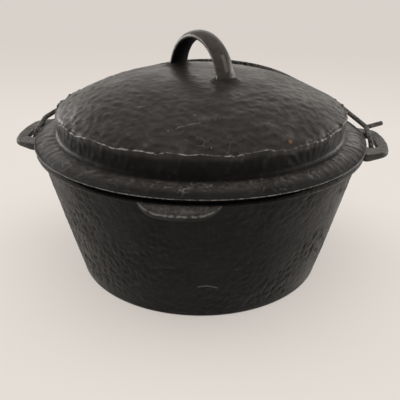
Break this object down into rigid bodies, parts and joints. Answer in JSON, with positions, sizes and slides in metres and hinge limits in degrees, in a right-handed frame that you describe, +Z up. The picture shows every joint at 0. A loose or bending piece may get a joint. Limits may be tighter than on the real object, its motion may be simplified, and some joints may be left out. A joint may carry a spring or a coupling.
{
  "type": "dutch oven",
  "caption": "Round flat-based iron pot with flat loop ears, a front ledge, a domed lid with an arched handle, and a wire bail.",
  "frame": {"origin": "centre of the pot's flat base, on the surface that it stands on", "axes": "+Z up through the lid, +X towards the right ear, -Y towards the front ledge"},
  "size_m": [0.3053, 0.304, 0.1938],
  "materials": {
    "iron": "hammered and seasoned",
    "worn_iron": "worn, lightly pitted",
    "handle_iron": "smooth from handling",
    "wire": "dull, darkened"
  },
  "bodies": {
    "pot": {"pot": "iron", "left_ear": "worn_iron", "right_ear": "worn_iron", "front_tab": "worn_iron"},
    "lid": {"lid_shell": "iron", "lid_handle": "handle_iron"},
    "bail": {"bail": "wire"}
  },
  "joints": [
    {"name": "lid_lift", "type": "slide", "parent": "pot", "child": "lid", "axis": [0, 0, 1], "range_m": [0, 0.025]},
    {"name": "bail_swing", "type": "hinge", "parent": "pot", "child": "bail", "pos_m": [0, 0, 0.1088], "axis": [1, 0, 0], "range_deg": [0, 105]}
  ]
}
